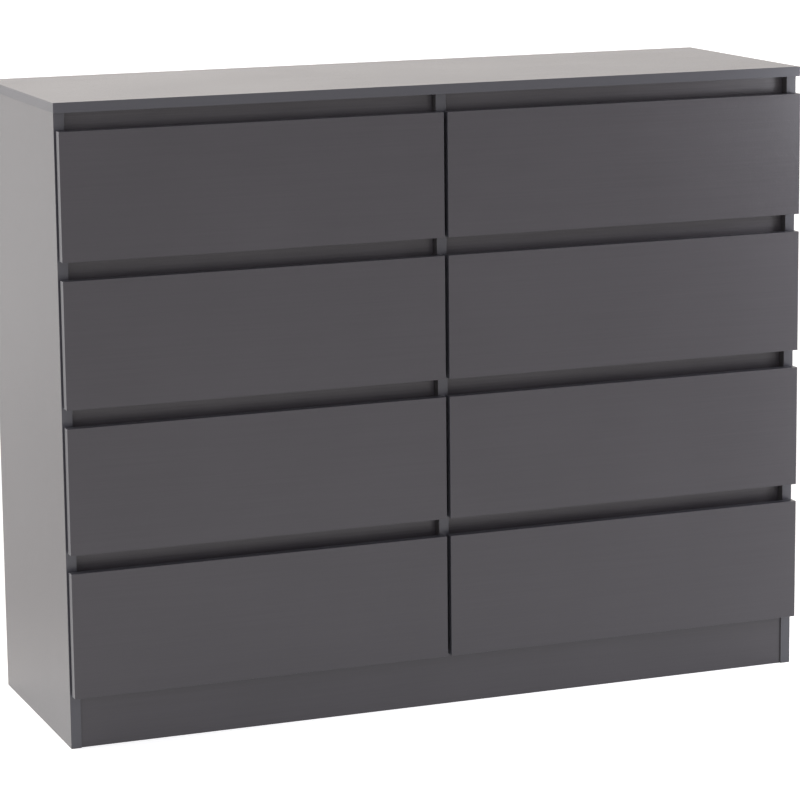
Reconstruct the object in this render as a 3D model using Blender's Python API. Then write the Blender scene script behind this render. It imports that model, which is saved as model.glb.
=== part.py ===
"""Chest of eight drawers without handles: two columns of four in a flat-pack board carcass.

Metres, +Z up. The front faces -Y and +X is to the right. The origin is the middle of the
footprint, at floor level. Each drawer hangs by the grooves in its sides on two runner strips,
and slides out along -Y.
"""
import math

import bmesh
import bpy
from mathutils import Vector

# ---- Driving dimensions ---------------------------------------------------------------------
WIDTH = 1.200                # over the top panel
DEPTH = 0.396                # drawer fronts to the rear edge of the top panel
HEIGHT = 0.961
FIT = 0.0003                 # gap left between pieces that touch

TOP_T = 0.015
TOP_SIDE_OVERHANG = 0.0025
TOP_FRONT_OVERHANG = 0.010   # ahead of the carcass edges
TOP_REAR_OVERHANG = 0.004    # covers the upper edge of the back sheets

BOARD_T = 0.016              # sides, divider, rails and plinth
BACK_T = 0.003               # hardboard: back sheets and drawer bases
BACK_INSET = 0.002           # back sheets, inside the outer faces of the sides
BACK_Z0 = 0.020

ROWS = 4
ROW_PITCH = 0.2165
FRONT_Z0 = 0.0815            # lower edge of the lowest front
FRONT_H = 0.189
FRONT_T = 0.015
FRONT_PROUD = 0.020          # face of the fronts, ahead of the carcass edges
FRONT_INSET = 0.0021         # fronts, inside the outer faces of the sides
CENTRE_GAP = 0.0061          # between the fronts of the two columns

RAIL_H = 0.050
RAIL_RECESS = 0.0145         # face of a rail, behind the carcass edges
RAIL_DROP = 0.016            # lower edge of a rail, below the top of the front before it
REAR_RAIL_H = 0.066
PLINTH_H = 0.088
PLINTH_RECESS = 0.0025

BOX_L = 0.350                # drawer sides, front to back
BOX_WALL = 0.012
BOX_SIDE_CLEARANCE = 0.0015  # drawer side to carcass
BOX_LIFT = 0.012             # lower edge of the box, above that of its front
BOX_DROP = 0.030             # upper edge of the box, below that of its front
BASE_LIFT = 0.010            # underside of the base groove, above the lower edge of the box
BASE_GROOVE_H = BACK_T + 2 * FIT
BASE_GROOVE_D = 0.006
FRONT_GROOVE_D = 0.007

RUNNER_L = 0.300
RUNNER_H = 0.016
RUNNER_T = 0.0072
RUNNER_SETBACK = 0.024       # nose of a strip, behind the carcass edges
RUNNER_LIFT = 0.080          # middle of a strip, above the lower edge of the box
GROOVE_D = 0.007
GROOVE_SLACK = 0.0013        # below the strip; above it the drawer hangs on FIT
SCREW_D = 0.0042
SCREW_HEAD_D = 0.0084
SCREW_COUNT = 3
SCREW_END = 0.030            # first and last screw, from the ends of a strip

# ---- Places that follow ---------------------------------------------------------------------
FACE_Y = -DEPTH / 2
EDGE_Y = FACE_Y + FRONT_PROUD                  # front edges of sides and divider
REAR_Y = DEPTH / 2 - TOP_REAR_OVERHANG         # rear edges of sides and divider
SIDE_X = WIDTH / 2 - TOP_SIDE_OVERHANG         # outer face of a side
INNER_X = SIDE_X - BOARD_T
DIVIDER_X = BOARD_T / 2
CARCASS_H = HEIGHT - TOP_T - FIT
COLUMN_W = INNER_X - DIVIDER_X
COLUMN_X = (INNER_X + DIVIDER_X) / 2
FRONT_W = SIDE_X - FRONT_INSET - CENTRE_GAP / 2
FRONT_X = (SIDE_X - FRONT_INSET + CENTRE_GAP / 2) / 2
FRONT_BACK_Y = FACE_Y + FRONT_T
BOX_W = COLUMN_W - 2 * BOX_SIDE_CLEARANCE
BOX_H = FRONT_H - BOX_LIFT - BOX_DROP
GROOVE_Z0 = RUNNER_LIFT - RUNNER_H / 2 - GROOVE_SLACK
GROOVE_Z1 = RUNNER_LIFT + RUNNER_H / 2 + FIT

COLUMNS = (("left", -1), ("right", 1))


def row_z(row):
    """Lower edge of the front in a row, where row 1 is the top one."""
    return FRONT_Z0 + (ROWS - row) * ROW_PITCH


# ---- Materials ------------------------------------------------------------------------------
def material(name, color, roughness, metallic=0.0):
    mat = bpy.data.materials.new(name)
    mat.use_nodes = True
    shader = mat.node_tree.nodes["Principled BSDF"]
    shader.inputs["Base Color"].default_value = (*color, 1.0)
    shader.inputs["Roughness"].default_value = roughness
    shader.inputs["Metallic"].default_value = metallic
    return mat


# ---- Mesh building --------------------------------------------------------------------------
def new_mesh(name, build):
    """A mesh from a function that fills a bmesh."""
    bm = bmesh.new()
    build(bm)
    bmesh.ops.recalc_face_normals(bm, faces=bm.faces)
    mesh = bpy.data.meshes.new(name)
    bm.to_mesh(mesh)
    bm.free()
    return mesh


def box_mesh(name, size):
    def build(bm):
        cube = bmesh.ops.create_cube(bm, size=1.0)
        bmesh.ops.scale(bm, vec=size, verts=cube["verts"])
    return new_mesh(name, build)


def prism_mesh(name, outline, thickness):
    """An outline in the YZ plane, extruded by a thickness centred on X = 0."""
    def build(bm):
        face = bm.faces.new([bm.verts.new((-thickness / 2, y, z)) for y, z in outline])
        grown = bmesh.ops.extrude_face_region(bm, geom=[face])["geom"]
        moved = [item for item in grown if isinstance(item, bmesh.types.BMVert)]
        bmesh.ops.translate(bm, vec=(thickness, 0, 0), verts=moved)
    return new_mesh(name, build)


def add(name, mesh, mat, location, parent=None):
    """An object of a mesh at a place in the world, under a parent empty or none."""
    obj = bpy.data.objects.new(name, mesh)
    bpy.context.scene.collection.objects.link(obj)
    if mat and not mesh.materials:
        mesh.materials.append(mat)
    obj.location = Vector(location) - (parent.location if parent else Vector())
    obj.parent = parent
    return obj


def board(name, low, high, mat, parent=None):
    """A rectangular board between two corners."""
    low, high = Vector(low), Vector(high)
    return add(name, box_mesh(name, high - low), mat, (low + high) / 2, parent)


def cut(name, blank, tools):
    """The mesh that is left of a blank after the tools have cut it. All arguments are meshes."""
    body = add(name, blank, None, (0, 0, 0))
    cutters = [add(f"{name}_cutter_{i}", tool, None, (0, 0, 0)) for i, tool in enumerate(tools)]
    for cutter in cutters:
        cutter.hide_render = True
        cutter.display_type = "WIRE"
        modifier = body.modifiers.new("Cut", "BOOLEAN")
        modifier.operation = "DIFFERENCE"
        modifier.solver = "EXACT"
        modifier.object = cutter
    evaluated = body.evaluated_get(bpy.context.evaluated_depsgraph_get())
    mesh = bpy.data.meshes.new_from_object(evaluated)
    mesh.name = name
    for obj in [body, *cutters]:
        bpy.data.objects.remove(obj)
    return mesh


# ---- Carcass --------------------------------------------------------------------------------
def make_carcass(foil, back_board):
    top_y = (EDGE_Y - TOP_FRONT_OVERHANG, DEPTH / 2)
    board("top_panel", (-WIDTH / 2, top_y[0], HEIGHT - TOP_T), (WIDTH / 2, top_y[1], HEIGHT), foil)
    for column, sign in COLUMNS:
        outer, inner = sign * SIDE_X, sign * INNER_X
        board(f"side_panel_{column}", (min(outer, inner), EDGE_Y, 0),
              (max(outer, inner), REAR_Y, CARCASS_H), foil)
    make_divider(foil)
    plinth_y = EDGE_Y + PLINTH_RECESS
    board("plinth", (FIT - INNER_X, plinth_y, 0),
          (INNER_X - FIT, plinth_y + BOARD_T, PLINTH_H), foil)
    for column, sign in COLUMNS:
        make_column_rails(column, sign, foil)
        make_back_sheet(column, sign, back_board)


def make_divider(foil):
    """The board between the columns, notched at its lower front corner for the plinth."""
    notch_y = EDGE_Y + PLINTH_RECESS + BOARD_T + FIT
    notch_z = PLINTH_H + FIT
    outline = [(notch_y, 0), (REAR_Y, 0), (REAR_Y, CARCASS_H), (EDGE_Y, CARCASS_H),
               (EDGE_Y, notch_z), (notch_y, notch_z)]
    add("centre_divider", prism_mesh("centre_divider", outline, BOARD_T), foil, (0, 0, 0))


def make_column_rails(column, sign, foil):
    """One rail behind each finger gap, and two behind the drawers that hold the back sheet."""
    half = COLUMN_W / 2 - FIT
    middle = sign * COLUMN_X

    def rail(name, y, low_z, high_z):
        board(name, (middle - half, y, low_z), (middle + half, y + BOARD_T, high_z), foil)

    for row in range(1, ROWS + 1):
        high = CARCASS_H if row == 1 else row_z(row) + FRONT_H - RAIL_DROP + RAIL_H
        rail(f"front_rail_{column}_{row}", EDGE_Y + RAIL_RECESS, high - RAIL_H, high)
    rail(f"rear_rail_top_{column}", REAR_Y - BOARD_T, CARCASS_H - REAR_RAIL_H, CARCASS_H)
    rail(f"rear_rail_bottom_{column}", REAR_Y - BOARD_T, BACK_Z0, BACK_Z0 + REAR_RAIL_H)


def make_back_sheet(column, sign, back_board):
    edges = sorted((sign * FIT, sign * (SIDE_X - BACK_INSET)))
    board(f"back_sheet_{column}", (edges[0], REAR_Y + FIT, BACK_Z0),
          (edges[1], REAR_Y + FIT + BACK_T, CARCASS_H), back_board)


# ---- Runner strips --------------------------------------------------------------------------
def screw_hole(y):
    """A countersunk hole through a strip, along X, sunk into the face at +X."""
    face, over, sides = RUNNER_T / 2, 0.001, 16
    sink = (SCREW_HEAD_D - SCREW_D) / 2
    profile = [(-face - over, SCREW_D / 2), (face - sink, SCREW_D / 2),
               (face, SCREW_HEAD_D / 2), (face + over, SCREW_HEAD_D / 2)]

    def build(bm):
        rings = []
        for x, radius in profile:
            angles = [2 * math.pi * i / sides for i in range(sides)]
            rings.append([bm.verts.new((x, y + radius * math.cos(a), radius * math.sin(a)))
                          for a in angles])
        for lower, upper in zip(rings, rings[1:]):
            for i in range(sides):
                j = (i + 1) % sides
                bm.faces.new((lower[i], lower[j], upper[j], upper[i]))
        bm.faces.new(rings[0])
        bm.faces.new(rings[-1])
    return new_mesh("screw_hole", build)


def runner_mesh():
    """A strip with a round nose and tapered tail, seen from the drawer's side at +X."""
    radius, steps, taper = RUNNER_H / 2, 8, 0.002
    outline = [(RUNNER_L, taper - radius), (RUNNER_L, radius - taper),
               (RUNNER_L - 2 * taper, radius)]
    for i in range(steps + 1):
        angle = math.pi / 2 + math.pi * i / steps
        outline.append((radius + radius * math.cos(angle), radius * math.sin(angle)))
    outline.append((RUNNER_L - 2 * taper, -radius))
    span = RUNNER_L - 2 * SCREW_END
    holes = [screw_hole(SCREW_END + span * i / (SCREW_COUNT - 1)) for i in range(SCREW_COUNT)]
    return cut("runner_strip", prism_mesh("runner_blank", outline, RUNNER_T), holes)


def make_runners(nylon):
    """Two strips for each drawer. Those on a wall that faces -X are the same strip, rolled over."""
    strip = runner_mesh()
    for column, sign in COLUMNS:
        for row in range(1, ROWS + 1):
            middle_z = row_z(row) + BOX_LIFT + RUNNER_LIFT
            for place, facing in (("outer", -sign), ("inner", sign)):
                wall = sign * (INNER_X if place == "outer" else DIVIDER_X)
                x = wall + facing * (FIT + RUNNER_T / 2)
                runner = add(f"runner_{column}_{row}_{place}", strip, nylon,
                             (x, EDGE_Y + RUNNER_SETBACK, middle_z))
                runner.rotation_euler.y = 0 if facing > 0 else math.pi


# ---- Drawers --------------------------------------------------------------------------------
def front_mesh():
    """A drawer front about its own centre, with the base's groove in its rear face.

    The groove is long enough for both columns, whose boxes sit off the middle of their fronts.
    """
    base_z = BOX_LIFT + BASE_LIFT + BASE_GROOVE_H / 2 - FRONT_H / 2
    length = base_width() + 2 * (FRONT_X - COLUMN_X + FIT)
    groove = box_mesh("front_groove", (length, 2 * FRONT_GROOVE_D, BASE_GROOVE_H))
    for vert in groove.vertices:
        vert.co += Vector((0, FRONT_T / 2, base_z))
    return cut("drawer_front", box_mesh("front_blank", (FRONT_W, FRONT_T, FRONT_H)), [groove])


def base_width():
    return BOX_W - 2 * (BOX_WALL - BASE_GROOVE_D) - 2 * FIT


def wrap_mesh():
    """Both sides and the back of a drawer, folded from one grooved strip of board.

    The profile is (depth from the outer face, height). It runs along the left side, the back
    and the right side, and is mitred at the two corners.
    """
    base_z0 = BASE_LIFT
    base_z1 = BASE_LIFT + BASE_GROOVE_H
    base_d = BOX_WALL - BASE_GROOVE_D
    profile = [(0, 0), (0, GROOVE_Z0), (GROOVE_D, GROOVE_Z0), (GROOVE_D, GROOVE_Z1),
               (0, GROOVE_Z1), (0, BOX_H), (BOX_WALL, BOX_H), (BOX_WALL, base_z1),
               (base_d, base_z1), (base_d, base_z0), (BOX_WALL, base_z0), (BOX_WALL, 0)]
    half = BOX_W / 2

    def build(bm):
        rings = []
        for side, at_back in ((-1, 0), (-1, 1), (1, 1), (1, 0)):
            rings.append([bm.verts.new((side * (half - d), at_back * (BOX_L - d), z))
                          for d, z in profile])
        count = len(profile)
        for first, second in zip(rings, rings[1:]):
            for i in range(count):
                j = (i + 1) % count
                bm.faces.new((first[i], first[j], second[j], second[i]))
        bm.faces.new(rings[0])
        bm.faces.new(rings[-1])
    return new_mesh("drawer_wrap", build)


def make_drawers(foil, inner_foil, base_board):
    """Eight drawers, each under an empty that sits on its slide axis."""
    front, wrap = front_mesh(), wrap_mesh()
    base_y0 = FRONT_BACK_Y - FRONT_GROOVE_D + FIT
    base_y1 = FRONT_BACK_Y + FIT + BOX_L - BOX_WALL + BASE_GROOVE_D - FIT
    base = box_mesh("drawer_base", (base_width(), base_y1 - base_y0, BACK_T))
    for column, sign in COLUMNS:
        for row in range(1, ROWS + 1):
            low = row_z(row)
            box_low = low + BOX_LIFT
            slide = bpy.data.objects.new(f"slide_{column}_{row}", None)
            slide.location = (sign * COLUMN_X, FRONT_BACK_Y, box_low + RUNNER_LIFT)
            bpy.context.scene.collection.objects.link(slide)
            add(f"drawer_front_{column}_{row}", front, foil,
                (sign * FRONT_X, FACE_Y + FRONT_T / 2, low + FRONT_H / 2), slide)
            add(f"drawer_wrap_{column}_{row}", wrap, inner_foil,
                (sign * COLUMN_X, FRONT_BACK_Y + FIT, box_low), slide)
            base_mid = box_low + BASE_LIFT + FIT + BACK_T / 2
            add(f"drawer_base_{column}_{row}", base, base_board,
                (sign * COLUMN_X, (base_y0 + base_y1) / 2, base_mid), slide)


def main():
    for obj in list(bpy.data.objects):
        bpy.data.objects.remove(obj)
    foil = material("grey_foil", (0.070, 0.066, 0.070), 0.45)
    inner_foil = material("drawer_foil", (0.110, 0.106, 0.108), 0.55)
    back_board = material("hardboard", (0.230, 0.150, 0.090), 0.72)
    base_board = material("printed_hardboard", (0.105, 0.100, 0.098), 0.60)
    nylon = material("runner_nylon", (0.030, 0.030, 0.032), 0.38)
    make_carcass(foil, back_board)
    make_runners(nylon)
    make_drawers(foil, inner_foil, base_board)


main()
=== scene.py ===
"""Looks of the eight-drawer chest: finishes, rounded edges, fasteners, studio and camera.

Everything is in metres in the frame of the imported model: +X right, front faces -Y, +Z up.
"""
import math

import bmesh
import bpy
from mathutils import Matrix, Vector


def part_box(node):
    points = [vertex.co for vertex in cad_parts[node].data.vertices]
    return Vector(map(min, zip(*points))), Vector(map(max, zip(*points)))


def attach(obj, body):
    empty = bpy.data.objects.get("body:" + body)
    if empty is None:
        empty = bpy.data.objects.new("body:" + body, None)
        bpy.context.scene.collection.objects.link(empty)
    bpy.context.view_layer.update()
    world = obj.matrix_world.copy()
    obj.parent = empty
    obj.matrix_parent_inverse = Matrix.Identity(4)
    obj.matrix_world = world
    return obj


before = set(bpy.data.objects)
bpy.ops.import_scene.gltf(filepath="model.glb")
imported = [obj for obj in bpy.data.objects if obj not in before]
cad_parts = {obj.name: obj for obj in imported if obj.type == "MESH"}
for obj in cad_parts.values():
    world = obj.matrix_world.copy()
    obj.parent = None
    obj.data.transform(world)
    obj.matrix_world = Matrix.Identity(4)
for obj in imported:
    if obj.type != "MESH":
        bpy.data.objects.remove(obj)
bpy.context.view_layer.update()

X, Y, Z = 0, 1, 2
ROWS = (1, 2, 3, 4)
COLUMN_SIGN = {"left": -1, "right": 1}   # of X, at the column
CARCASS = "carcass"


# ---- Node trees -----------------------------------------------------------------------------
IOR = 1.5                                # of every surface here
SQUARE_ON = 0.75                         # a normal's least share along an axis, to be square to it
COLOR_A, COLOR_B, COLOR_OUT = 6, 7, 2    # a Mix node's sockets for colours


class Graph:
    """A node tree, with short ways to add nodes."""

    def __init__(self, tree):
        self.nodes = tree.nodes
        self.links = tree.links

    def add(self, kind, sockets=None, **settings):
        """A node. Each socket's value is a constant, or an output to link to it."""
        node = self.nodes.new(kind)
        for key, value in settings.items():
            setattr(node, key, value)
        for key, value in (sockets or {}).items():
            self.put(node.inputs[key], value)
        return node

    def put(self, socket, value):
        if isinstance(value, bpy.types.NodeSocket):
            self.links.new(value, socket)
        else:
            socket.default_value = value

    def math(self, operation, *values):
        node = self.add("ShaderNodeMath", dict(enumerate(values)), operation=operation)
        return node.outputs[0]

    def weigh(self, first, second):
        """The sum of two values, each given as (value, weight)."""
        return self.math("ADD", self.math("MULTIPLY", *first), self.math("MULTIPLY", *second))

    def mix(self, factor, first, second):
        """The first colour at a factor of 0, the second at 1."""
        node = self.add("ShaderNodeMix", data_type="RGBA")
        self.put(node.inputs["Factor"], factor)
        self.put(node.inputs[COLOR_A], first)
        self.put(node.inputs[COLOR_B], second)
        return node.outputs[COLOR_OUT]

    def remap(self, value, source, target=(0.0, 1.0), interpolation="LINEAR"):
        """A value mapped from one (low, high) to another, and clamped."""
        node = self.add("ShaderNodeMapRange", {
            "Value": value, "From Min": source[0], "From Max": source[1],
            "To Min": target[0], "To Max": target[1]}, interpolation_type=interpolation)
        return node.outputs[0]

    def noise(self, density, detail=3.0, roughness=0.5, distortion=0.0):
        """Noise of the object's own coordinates. Density is in features per metre, by axis."""
        place = self.add("ShaderNodeTexCoord").outputs["Object"]
        mapped = self.add("ShaderNodeMapping", {"Vector": place, "Scale": density})
        texture = self.add("ShaderNodeTexNoise", {
            "Vector": mapped.outputs[0], "Scale": 1.0, "Detail": detail,
            "Roughness": roughness, "Distortion": distortion})
        return texture.outputs["Fac"]

    def toward(self, axis):
        """How far a face looks along an axis, from -1 to 1."""
        normal = self.add("ShaderNodeNewGeometry").outputs["Normal"]
        return self.add("ShaderNodeSeparateXYZ", {0: normal}).outputs[axis]

    def facing(self, axis):
        """1 on faces square to an axis, 0 on the others."""
        return self.math("GREATER_THAN", self.math("ABSOLUTE", self.toward(axis)), SQUARE_ON)

    def looking(self, axis, sign):
        """1 on faces that look along an axis, in the direction of the sign."""
        signed = self.math("MULTIPLY", self.toward(axis), float(sign))
        return self.math("GREATER_THAN", signed, SQUARE_ON)


class Surface(Graph):
    """A material: a node tree around its Principled shader."""

    def __init__(self, name, roughness, metallic=0.0):
        self.material = bpy.data.materials.new(name)
        self.material.use_nodes = True
        super().__init__(self.material.node_tree)
        self.shader = self.nodes["Principled BSDF"]
        self.set("Roughness", roughness)
        self.set("IOR", IOR)
        self.set("Metallic", metallic)

    def set(self, name, value):
        """Gives the shader's input a constant, or an output to link to it."""
        self.put(self.shader.inputs[name], value)

    def bump(self, height, depth, strength):
        """Relief. Depth is in metres, for a height of 1."""
        node = self.add("ShaderNodeBump", {
            "Height": height, "Distance": depth, "Strength": strength})
        self.set("Normal", node.outputs[0])


# ---- Materials ------------------------------------------------------------------------------
def color(r, g, b):
    return (r, g, b, 1.0)


def scaled(tint, factor):
    """A colour made brighter or darker."""
    return color(*(c * factor for c in tint[:3]))


def every_way(density):
    """The same feature density along every axis."""
    return (density, density, density)


def along_grain(grain, along, across):
    """Feature density by axis, for a grain that runs along one axis."""
    return tuple(along if i == grain else across for i in range(3))


# The darkest and the lightest tone of each finish.
FRONT_TONES = color(0.0302, 0.0272, 0.0322), color(0.0372, 0.0336, 0.0394)
# Painted sheen: the uprights are the front decor, made lighter to stand in for the sheen of light
# on the side.
UPRIGHT_SHEEN_TONES = color(0.052, 0.048, 0.050), color(0.063, 0.059, 0.061)
# Painted light: the rails are the front decor, made lighter to make up for the shade in the gaps
# between the drawers.
RAIL_LIGHTENED_TONES = color(0.041, 0.0365, 0.042), color(0.066, 0.0598, 0.067)
DRAWER_TONES = color(0.104, 0.099, 0.104), color(0.130, 0.124, 0.129)
FLAKE_TONES = color(0.210, 0.130, 0.070), color(0.430, 0.310, 0.190)
FIBRE_TONES = color(0.135, 0.080, 0.045), color(0.255, 0.165, 0.098)
COAT_TONES = color(0.098, 0.094, 0.100), color(0.112, 0.107, 0.113)

# Edge banding: its own faint blue tint, made lighter than the decor as a painted highlight along
# the edges.
BAND_WITH_HIGHLIGHT = color(0.0465, 0.0462, 0.0548)
DRAWER_BAND = color(0.118, 0.113, 0.117)
RUNNER_TINT = color(0.028, 0.028, 0.030)
ZINC_TINT = color(0.62, 0.61, 0.58)
# Painted shade: near black for the bottoms of the cross recesses in screws and cams, which are
# zinc.
RECESS_SHADE_TINT = color(0.020, 0.019, 0.018)

# The range of a noise that spans a finish's tones. A narrow range gives more contrast.
NARROW = (0.34, 0.66)
WIDE = (0.30, 0.70)
FLAKE_RANGE = (0.35, 0.65)
PORE_RANGE = (0.56, 0.70)                # only the peaks of the noise are pores


def chipboard(g):
    """Colour of a sawn edge: pale and dark flakes, pressed together."""
    flakes = g.noise(every_way(420.0), detail=4.0, roughness=0.8, distortion=1.2)
    return g.mix(g.remap(flakes, FLAKE_RANGE), *FLAKE_TONES)


def foil(name, face, grain, tones=FRONT_TONES, edge_tint=BAND_WITH_HIGHLIGHT, roughness=0.30, wrapped=False,
         sawn=()):
    """Printed decor foil with a fine pore along the grain, and banding on the edges, whose default
    tint is lighter than the decor as a painted highlight.

    The decor is on faces square to one axis, or on all others if the board is wrapped in it.
    Faces that look along one of the sawn directions (axis, sign) are bare chipboard.
    """
    g = Surface(name, roughness)
    fibres = g.noise(along_grain(grain, along=5.0, across=420.0), detail=4.0, roughness=0.65)
    mottle = g.noise(every_way(5.0))
    tone = g.remap(g.weigh((fibres, 0.6), (mottle, 0.4)), NARROW)
    on_decor = g.facing(face)
    if wrapped:
        on_decor = g.math("SUBTRACT", 1.0, on_decor)
    # Edges take the edge tint; the default one carries a painted highlight.
    tint = g.mix(on_decor, edge_tint, g.mix(tone, *tones))
    for axis, sign in sawn:
        tint = g.mix(g.looking(axis, sign), tint, chipboard(g))
    g.set("Base Color", tint)
    streaks = g.noise(along_grain(grain, along=160.0, across=2600.0), detail=2.0)
    dents = g.math("MULTIPLY", g.remap(streaks, PORE_RANGE), on_decor)
    grit = g.noise(every_way(2200.0), detail=2.0)
    peel = g.noise(every_way(300.0), detail=2.0, roughness=0.6)
    relief = g.math("SUBTRACT", g.math("MULTIPLY", grit, 0.5), dents)
    g.bump(g.math("ADD", relief, g.math("MULTIPLY", peel, 1.5)), depth=0.00006, strength=0.6)
    smoothest = roughness - 0.015
    uneven = g.weigh((mottle, 0.05), (fibres, 0.09))
    g.set("Roughness", g.math("ADD", smoothest, uneven))
    return g.material


def hardboard(name, printed):
    """Pressed fibre sheet: raw and brown, with a grey coat on the face towards the user.

    printed is the direction (axis, sign) that the coated face looks along.
    """
    raw_roughness, coat_change = 0.72, -0.18
    g = Surface(name, 0.6)
    clumps = g.noise(every_way(60.0), detail=6.0, roughness=0.72, distortion=0.3)
    flecks = g.noise((620.0, 240.0, 620.0), detail=4.0, roughness=0.75)
    texture = g.weigh((clumps, 0.30), (flecks, 0.70))
    raw = g.mix(g.remap(texture, NARROW), *FIBRE_TONES)
    coat = g.mix(g.remap(clumps, WIDE), *COAT_TONES)
    on_coat = g.looking(*printed)
    g.set("Base Color", g.mix(on_coat, raw, coat))
    g.set("Roughness", g.math("ADD", raw_roughness, g.math("MULTIPLY", on_coat, coat_change)))
    g.bump(texture, depth=0.00008, strength=0.5)
    return g.material


def moulded(name, tint, roughness):
    """Moulded plastic with a fine spark-eroded grain."""
    g = Surface(name, roughness)
    swirl = g.noise(every_way(60.0), roughness=0.6, distortion=0.8)
    g.set("Base Color", g.mix(g.remap(swirl, WIDE), tint, scaled(tint, 1.25)))
    g.bump(g.noise(every_way(1800.0), detail=2.0), depth=0.00004, strength=0.5)
    return g.material


def plated(name, tint, roughness):
    """Zinc plating: bright, with clouding and fine pits."""
    g = Surface(name, roughness, metallic=1.0)
    cloud = g.noise(every_way(450.0), detail=4.0, roughness=0.6)
    g.set("Base Color", g.mix(g.remap(cloud, WIDE), scaled(tint, 0.72), tint))
    g.set("Roughness", g.math("ADD", roughness, g.math("MULTIPLY", cloud, 0.15)))
    g.bump(g.noise(every_way(2500.0), detail=2.0), depth=0.00003, strength=0.5)
    return g.material


# The uprights' foil is the front decor with lighter tones, a painted sheen.
foil_upright_painted_sheen = foil("foil_side_painted_sheen", X, Z, UPRIGHT_SHEEN_TONES, roughness=0.25, sawn=((Y, 1), (Z, -1)))
foil_front = foil("foil_front", Y, X)
foil_top = foil("foil_top", Z, X)
# The rails' foil is the front decor with lighter tones, painted light against the shade in the
# gaps.
foil_rail_painted_light = foil("foil_rail_painted_light", Y, X, RAIL_LIGHTENED_TONES)
drawer_foil = foil("foil_drawer", Z, Y, DRAWER_TONES, DRAWER_BAND, roughness=0.40, wrapped=True)
back_board = hardboard("hardboard_back", (Y, -1))
base_board = hardboard("hardboard_base", (Z, 1))
runner_plastic = moulded("runner_plastic", RUNNER_TINT, 0.38)
zinc = plated("zinc_plate", ZINC_TINT, 0.28)
# Painted shade in the cross recesses, made with the moulded-plastic recipe though the recess is
# zinc.
painted_recess_shade = moulded("painted_recess_shade", RECESS_SHADE_TINT, 0.6)


# ---- CAD nodes: finish and rounded edges ----------------------------------------------------
FINISHES = (                             # start of the names, material, radius of the arrises
    ("side_panel", foil_upright_painted_sheen, 0.0006),
    ("centre_divider", foil_upright_painted_sheen, 0.0006),
    ("top_panel", foil_top, 0.0007),
    ("front_rail", foil_rail_painted_light, 0.0005),
    ("rear_rail", foil_rail_painted_light, 0.0005),
    ("drawer_front", foil_front, 0.0006),
    ("plinth", foil_front, 0.0006),
    ("drawer_wrap", drawer_foil, 0.0005),
    ("drawer_base", base_board, 0.0002),
    ("back_sheet", back_board, 0.0002),
    ("runner", runner_plastic, 0.0004),
)
WELD_DISTANCE = 0.00001
ARRIS_SEGMENTS = 3
ARRIS_ANGLE = math.radians(40)           # edges that turn by more are arrises


def finish_node(node, material, radius):
    """Gives a node its finish, and rounds its arrises without touching its mesh."""
    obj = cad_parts[node]
    obj.data.materials.clear()
    obj.data.materials.append(material)
    weld = obj.modifiers.new("Weld", "WELD")
    weld.merge_threshold = WELD_DISTANCE
    bevel = obj.modifiers.new("Round", "BEVEL")
    bevel.width = radius
    bevel.segments = ARRIS_SEGMENTS
    bevel.limit_method = "ANGLE"
    bevel.angle_limit = ARRIS_ANGLE
    bevel.harden_normals = True
    bevel.use_clamp_overlap = True


def finish_nodes():
    for start, material, radius in FINISHES:
        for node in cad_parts:
            if node.startswith(start):
                finish_node(node, material, radius)


# ---- Fasteners ------------------------------------------------------------------------------
SMOOTH_ANGLE = math.radians(30)          # edges that turn by more stay sharp

# A cross recess. Each arm has two corners, and the outline between two arms has three points.
ARM_HALF_ANGLE = math.radians(14)        # from the middle of an arm to its corner
CROSS_ANGLES = [math.radians(90 * quarter + step)
                for quarter in range(4) for step in (-14, 14, 28, 45, 62)]
RECESS_TAPER = 0.66                      # size of the recess at its bottom, over that at its mouth
ROUNDING = 1.01                          # slack, so that a corner counts as on its arm

# Profiles are (radius, height) from the lowest point, with the face that it sits on at 0.
SCREW_PROFILE = [(0.0015, -0.0030), (0.0017, -0.0022), (0.0037, -0.0003), (0.0036, -0.0001)]
SCREW_ARM = 0.0021                       # reach of the recess's arms
SCREW_SINK = 0.0014                      # depth of the recess
SCREW_PLACES = (0.030, 0.150, 0.270)     # from the nose of a runner strip
SCREW_TURNS = (0.7, 1.3, 0.4)            # what each place, each row and the outer strip add

CAM_RADIUS = 0.0060
CAM_PROUD = 0.0003
CAM_PROFILE = [(CAM_RADIUS, -0.0004), (CAM_RADIUS, CAM_PROUD * 0.5),
               (CAM_RADIUS - 0.0002, CAM_PROUD), (CAM_RADIUS - 0.0014, CAM_PROUD),
               (CAM_RADIUS - 0.0016, CAM_PROUD * 0.6)]
CAM_ARM = 0.0034
# Shallow; the painted shade on its bottom makes it look deep.
CAM_SINK = 0.00012
CAM_SETBACK = 0.024                      # centre of a cam, behind the back of the front
CAM_HEIGHTS = (0.034, 0.122)             # above the lower edge of the drawer box
CAM_TURNS = (0.25, 0.5, 0.9)             # the first turn, and what each place and row adds

NAIL_RADIUS = 0.0022
NAIL_PROUD = 0.0005
NAIL_PROFILE = [(1.0, -0.4), (1.0, 0.35), (0.72, 0.82), (0.36, 0.97)]   # of radius and height
NAIL_SIDES = 12
NAIL_ANGLES = [2 * math.pi * i / NAIL_SIDES for i in range(NAIL_SIDES)]
NAIL_PITCH = 0.098
NAIL_FROM_SEAM = 0.004                   # from the seam between the two back sheets
NAIL_FROM_EDGE = 0.012                   # from the sheets' top and bottom edges
NAIL_STRAY = 0.0015                      # how far off its place a nail may be, in height
STRAY_SHARE_X = 0.6                      # and sideways, as a share of that
STRAY_PHASE_X, STRAY_PHASE_Z = 7.3, 4.1  # from one nail to the next, so that no two look alike


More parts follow.
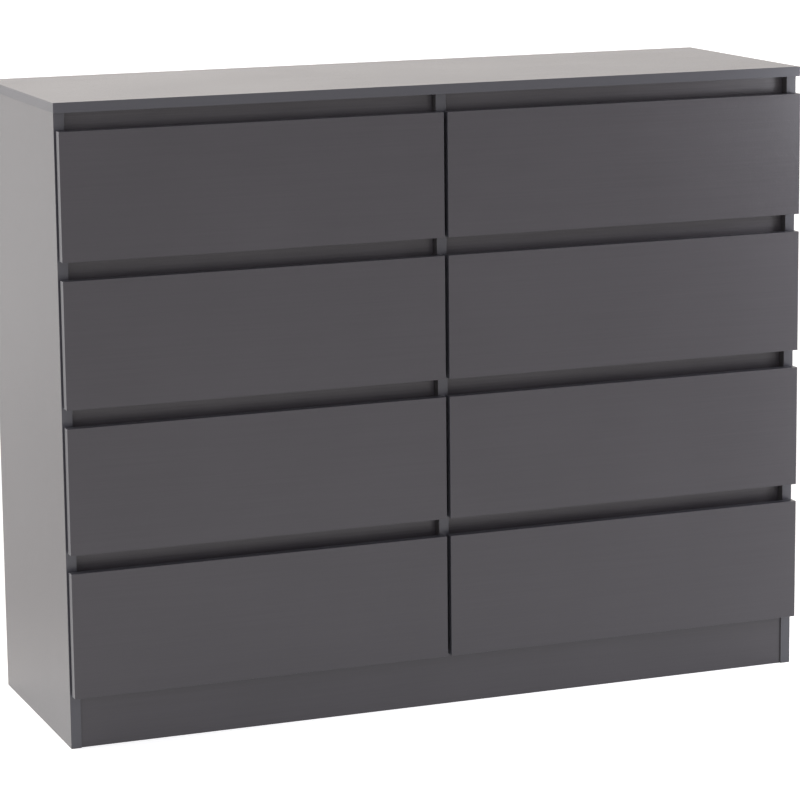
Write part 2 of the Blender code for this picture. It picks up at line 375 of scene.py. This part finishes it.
def add_head(bm, place, angles, rings):
    """A closed head from rings of (radius, height), one per angle. Returns its outer face.

    The rings start at the lowest. place maps the head's own axes, with +Z outwards, to the
    model's.
    """
    loops = [[bm.verts.new(place @ Vector((r * math.cos(a), r * math.sin(a), z)))
              for a, (r, z) in zip(angles, ring)] for ring in rings]
    for lower, upper in zip(loops, loops[1:]):
        for i in range(len(angles)):
            j = (i + 1) % len(angles)
            bm.faces.new((lower[i], lower[j], upper[j], upper[i]))
    bm.faces.new(loops[0][::-1])
    return bm.faces.new(loops[-1])


def cross_radius(angle, arm):
    """Distance from the middle to the outline of a cross, whose arms' corners are at arm."""
    quarter = angle % math.radians(90)
    quarter = min(quarter, math.radians(90) - quarter)
    if quarter < ARM_HALF_ANGLE * ROUNDING:
        return arm
    return arm * math.sin(ARM_HALF_ANGLE) / math.sin(quarter)


def add_crossed_head(bm, place, profile, arm, sink):
    """A turned head with a cross recess, whose bottom has the second material: painted shade, so
    that the shallow recess looks deep.
    """
    rings = [[point] * len(CROSS_ANGLES) for point in profile]
    mouth = profile[-1][1]
    for scale, z in ((1.0, mouth), (RECESS_TAPER, mouth - sink)):
        rings.append([(scale * cross_radius(a, arm), z) for a in CROSS_ANGLES])
    # The recess's bottom takes the painted shade.
    add_head(bm, place, CROSS_ANGLES, rings).material_index = 1


def add_nail_head(bm, place):
    """A low dome on a short rim."""
    rings = [[(scale * NAIL_RADIUS, level * NAIL_PROUD)] * len(NAIL_ANGLES)
             for scale, level in NAIL_PROFILE]
    add_head(bm, place, NAIL_ANGLES, rings)


def head_place(point, outward, turn=0.0):
    """Places a head at a point, with its +Z outward and turned about it."""
    spin = Vector(outward).to_track_quat("Z", "Y").to_matrix().to_4x4()
    return Matrix.Translation(point) @ spin @ Matrix.Rotation(turn, 4, "Z")


def add_piece(name, bm, materials, body):
    """Makes a bmesh an object that rides on a body, smooth apart from its sharp edges."""
    bmesh.ops.recalc_face_normals(bm, faces=bm.faces)
    mesh = bpy.data.meshes.new(name)
    bm.to_mesh(mesh)
    bm.free()
    for material in materials:
        mesh.materials.append(material)
    mesh.shade_smooth()
    mesh.set_sharp_from_angle(angle=SMOOTH_ANGLE)
    piece = bpy.data.objects.new(name, mesh)
    bpy.context.scene.collection.objects.link(piece)
    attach(piece, body)


def make_runner_screws(column, row, place):
    """Countersunk screws in the three holes of a runner strip."""
    low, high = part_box(f"runner_{column}_{row}_{place}")
    outer = place == "outer"
    out = -COLUMN_SIGN[column] if outer else COLUMN_SIGN[column]
    face = high[X] if out > 0 else low[X]
    middle = (low[Z] + high[Z]) / 2
    per_place, per_row, for_outer = SCREW_TURNS
    bm = bmesh.new()
    for index, y in enumerate(SCREW_PLACES):
        turn = per_place * index + per_row * row + (for_outer if outer else 0.0)
        spot = head_place((face, low[Y] + y, middle), (out, 0, 0), turn)
        add_crossed_head(bm, spot, SCREW_PROFILE, SCREW_ARM, SCREW_SINK)
    add_piece(f"runner_screws_{column}_{row}_{place}", bm, (zinc, painted_recess_shade), CARCASS)


def make_cams(column, row):
    """Cam locks in both sides of a drawer, which draw its front tight."""
    low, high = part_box(f"drawer_wrap_{column}_{row}")
    first, per_place, per_row = CAM_TURNS
    bm = bmesh.new()
    for x, out in ((low[X], -1), (high[X], 1)):
        for index, z in enumerate(CAM_HEIGHTS):
            turn = first + per_place * index + per_row * row
            spot = head_place((x, low[Y] + CAM_SETBACK, low[Z] + z), (out, 0, 0), turn)
            add_crossed_head(bm, spot, CAM_PROFILE, CAM_ARM, CAM_SINK)
    add_piece(f"drawer_cams_{column}_{row}", bm, (zinc, painted_recess_shade), f"drawer_{column}_{row}")


def spaced(start, end, pitch):
    """Even places from start to end, about a pitch apart."""
    count = max(1, round((end - start) / pitch))
    return [start + (end - start) * i / count for i in range(count + 1)]


def make_back_nails(column):
    """Nails through a back sheet into the side, divider and rear rails."""
    low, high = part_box(f"back_sheet_{column}")
    side_low, side_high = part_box(f"side_panel_{column}")
    side_x = (side_low[X] + side_high[X]) / 2
    seam_x = COLUMN_SIGN[column] * NAIL_FROM_SEAM
    bottom, top = low[Z] + NAIL_FROM_EDGE, high[Z] - NAIL_FROM_EDGE
    places = [(x, z) for x in (side_x, seam_x) for z in spaced(bottom, top, NAIL_PITCH)]
    between = spaced(min(side_x, seam_x), max(side_x, seam_x), NAIL_PITCH)[1:-1]
    places += [(x, z) for z in (bottom, top) for x in between]
    bm = bmesh.new()
    for index, (x, z) in enumerate(places):
        stray_x = NAIL_STRAY * math.sin(STRAY_PHASE_X * index) * STRAY_SHARE_X
        stray_z = NAIL_STRAY * math.cos(STRAY_PHASE_Z * index)
        add_nail_head(bm, head_place((x + stray_x, high[Y], z + stray_z), (0, 1, 0)))
    add_piece(f"back_nails_{column}", bm, (zinc,), CARCASS)


def make_fasteners():
    for column in COLUMN_SIGN:
        for row in ROWS:
            for place in ("outer", "inner"):
                make_runner_screws(column, row, place)
            make_cams(column, row)
        make_back_nails(column)


# ---- Studio ---------------------------------------------------------------------------------
FLOOR_RADIUS = 60.0
GLOW_MIDDLE = (0.2, -0.55, 0.0)          # on the floor, just in front of the chest
GLOW_REACH = (0.2, 2.8)                  # distances from there between which the glow falls
GLOW = (0.75, 0.13)
BACK_REACH = (0.05, 0.75)                # Y between which that glow dims, behind the chest
BACK_DIMMING = (1.0, 0.45)
FAR_REACH = (0.8, 3.5)                   # Y between which the floor brightens again
FAR_GLOW = (0.0, 0.34)

WALL_EDGE = (-0.10, 0.60)                # Y of the directions where the room turns into the wall
ROOM_CLIMB = (0.60, 0.95)                # Z of the directions where the room darkens
WALL = color(2.02, 1.93, 1.87)
ROOM_LOW = color(0.96, 0.95, 0.99)
ROOM_HIGH = color(0.30, 0.30, 0.31)
LEFT_LEAN = -0.51                        # change of the studio's brightness towards +X

LIGHT_COLOR = (0.93, 0.94, 1.0)

CAMERA_PLACE = (-1.8158, -4.697, 1.4433)
CAMERA_ANGLES = (21.132, -10.212, -0.598)      # yaw, pitch and roll, in degrees
SENSOR_WIDTH = 36.0                      # in millimetres, as the lens is
LENS = 146.93
SHIFT = -0.07                            # a share of the frame
VIEW_REACH = 200.0


def make_floor():
    """A white floor that glows around the chest, and so nearly washes out its shadow."""
    mesh = bpy.data.meshes.new("floor")
    bm = bmesh.new()
    bmesh.ops.create_circle(bm, cap_ends=True, radius=FLOOR_RADIUS, segments=96)
    bm.to_mesh(mesh)
    bm.free()
    floor = bpy.data.objects.new("floor", mesh)
    bpy.context.scene.collection.objects.link(floor)
    g = Surface("studio_floor", 0.9)
    g.set("Base Color", color(0.88, 0.88, 0.88))
    g.set("Specular IOR Level", 0.0)
    g.set("Emission Color", color(1, 1, 1))
    place = g.add("ShaderNodeTexCoord").outputs["Object"]
    reach = g.add("ShaderNodeVectorMath", {0: place, 1: GLOW_MIDDLE}, operation="DISTANCE")
    glow = g.remap(reach.outputs["Value"], GLOW_REACH, GLOW)
    back = g.add("ShaderNodeSeparateXYZ", {0: place}).outputs["Y"]
    near = g.math("MULTIPLY", glow, g.remap(back, BACK_REACH, BACK_DIMMING))
    far = g.remap(back, FAR_REACH, FAR_GLOW)
    g.set("Emission Strength", g.math("ADD", near, far))
    mesh.materials.append(g.material)


def make_world():
    """A white studio: the wall behind the chest is brighter and warmer than the room before it,
    which darkens high up."""
    world = bpy.data.worlds.new("studio")
    world.use_nodes = True
    g = Graph(world.node_tree)
    direction = g.add("ShaderNodeTexCoord").outputs["Generated"]
    parts = g.add("ShaderNodeSeparateXYZ", {0: direction}).outputs
    room = g.mix(g.remap(parts["Z"], ROOM_CLIMB), ROOM_LOW, ROOM_HIGH)
    turn = g.remap(parts["Y"], WALL_EDGE, interpolation="SMOOTHSTEP")
    strength = g.math("MULTIPLY_ADD", parts["X"], LEFT_LEAN, 1.0)
    background = g.nodes["Background"]
    g.put(background.inputs["Color"], g.mix(turn, room, WALL))
    g.put(background.inputs["Strength"], strength)
    bpy.context.scene.world = world


def area_light(name, place, target, size, power):
    """A rectangular softbox that shines from its place towards a target."""
    data = bpy.data.lights.new(name, "AREA")
    data.shape = "RECTANGLE"
    data.size, data.size_y = size
    data.energy = power
    data.color = LIGHT_COLOR
    lamp = bpy.data.objects.new(name, data)
    lamp.location = place
    lamp.rotation_euler = (Vector(target) - Vector(place)).to_track_quat("-Z", "Y").to_euler()
    lamp.visible_camera = False
    bpy.context.scene.collection.objects.link(lamp)


def make_camera():
    """A long lens from the left and a little above, with a slight shift as on a view camera."""
    yaw, pitch, roll = (math.radians(a) for a in CAMERA_ANGLES)
    ahead = Vector((math.sin(yaw), math.cos(yaw), 0))
    right = Vector((math.cos(yaw), -math.sin(yaw), 0))
    up = Vector((0, 0, 1))
    look = ahead * math.cos(pitch) + up * math.sin(pitch)
    over = up * math.cos(pitch) - ahead * math.sin(pitch)
    side = right * math.cos(roll) + over * math.sin(roll)
    over = over * math.cos(roll) - right * math.sin(roll)
    data = bpy.data.cameras.new("camera")
    data.sensor_width = SENSOR_WIDTH
    data.lens = LENS
    data.shift_y = SHIFT
    data.clip_end = VIEW_REACH
    camera = bpy.data.objects.new("camera", data)
    turn = Matrix((side, over, -look)).transposed().to_4x4()
    camera.matrix_world = Matrix.Translation(CAMERA_PLACE) @ turn
    bpy.context.scene.collection.objects.link(camera)
    bpy.context.scene.camera = camera
    bpy.context.scene.view_settings.view_transform = "Standard"


make_camera()
finish_nodes()
make_fasteners()
make_floor()
make_world()
# Both softboxes stay below the top panel, which would mirror a higher one.
area_light("side_softbox", place=(1.05, -0.50, 0.50), target=(0.55, -0.2, 0.50),
           size=(0.2, 0.86), power=2.8)
area_light("corner_softbox", place=(0.96, -0.52, 0.885), target=(0.52, -0.19, 0.95),
           size=(0.18, 0.11), power=1.5)
